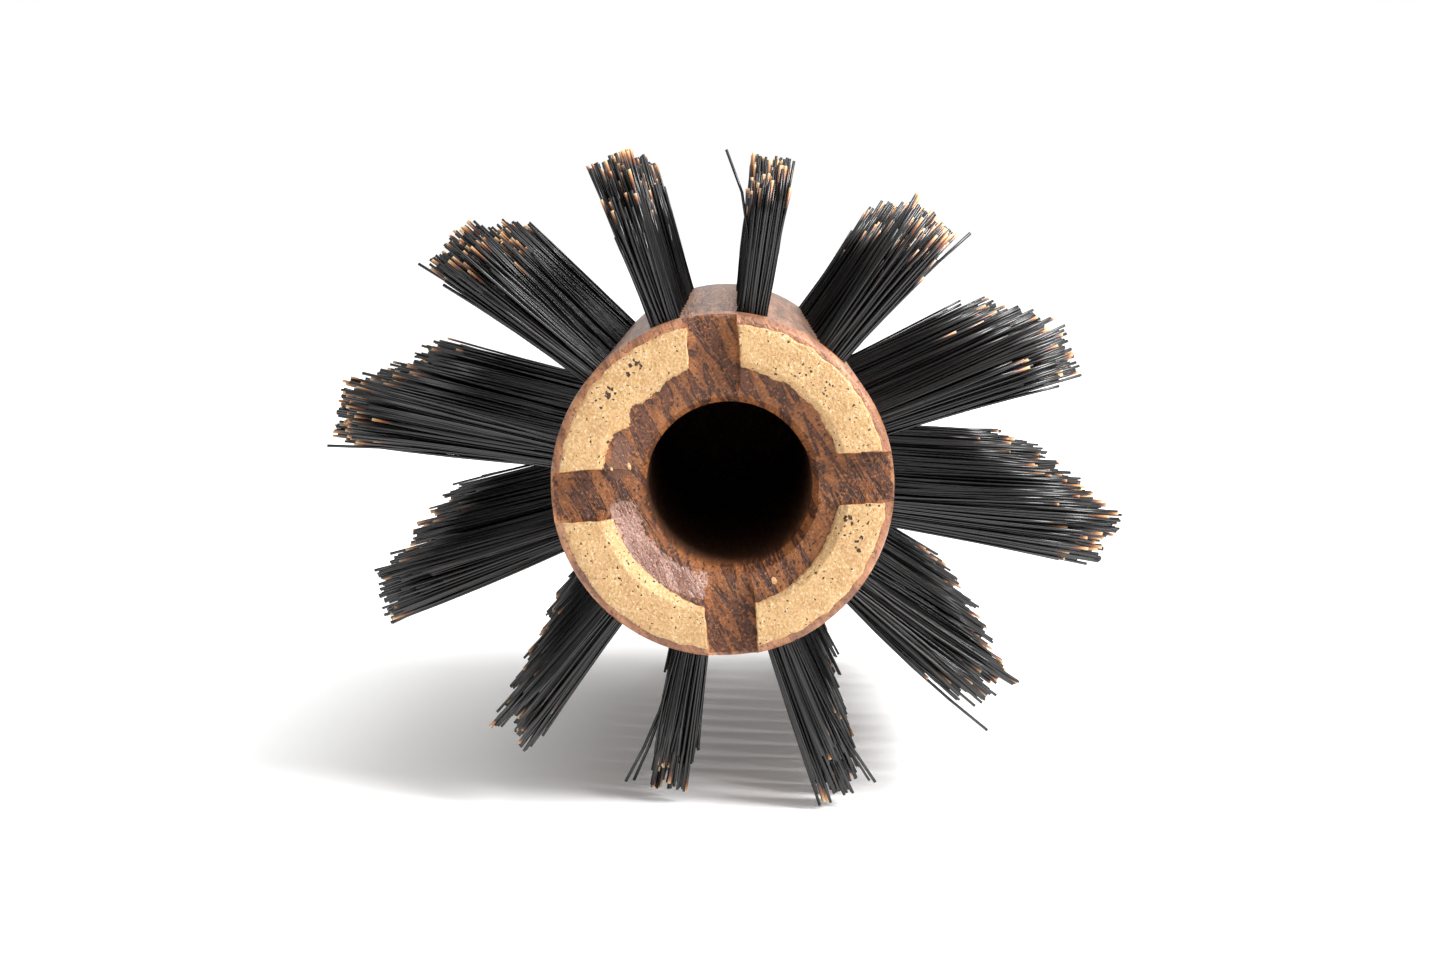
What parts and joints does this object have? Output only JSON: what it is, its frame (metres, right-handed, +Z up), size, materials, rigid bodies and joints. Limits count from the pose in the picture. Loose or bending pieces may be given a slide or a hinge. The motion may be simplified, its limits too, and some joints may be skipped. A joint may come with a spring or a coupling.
{
  "type": "round barrel brush",
  "caption": "Round hair brush head: turned wooden barrel with rows of stapled bristle tufts, a slotted gilt end face and a blind bore for a plug-in handle.",
  "frame": {"origin": "under the middle of the brush, on the surface that its bristles rest on", "axes": "+Y along the barrel from the slotted handle end to the closed end, +Z up, +X to the right seen from the handle end"},
  "size_m": [0.0588, 0.072, 0.049],
  "materials": {
    "wood": "oiled brown hardwood, fine open grain, worn",
    "gilt": "thick satin gold metallic paint with pinholes",
    "bristle": "stiff black hair bristle with a soft sheen and pale cut tips",
    "steel": "drawn flat wire"
  },
  "bodies": {
    "root": {"barrel": "wood", "gilt_coat": "gilt", "bristle_row_01": "bristle", "bristle_row_02": "bristle", "bristle_row_03": "bristle", "bristle_row_04": "bristle", "bristle_row_05": "bristle", "bristle_row_06": "bristle", "bristle_row_07": "bristle", "bristle_row_08": "bristle", "bristle_row_09": "bristle", "bristle_row_10": "bristle", "bristle_row_11": "bristle", "bristle_row_12": "bristle", "staple_row_01": "steel", "staple_row_02": "steel", "staple_row_03": "steel", "staple_row_04": "steel", "staple_row_05": "steel", "staple_row_06": "steel", "staple_row_07": "steel", "staple_row_08": "steel", "staple_row_09": "steel", "staple_row_10": "steel", "staple_row_11": "steel", "staple_row_12": "steel"}
  },
  "joints": []
}
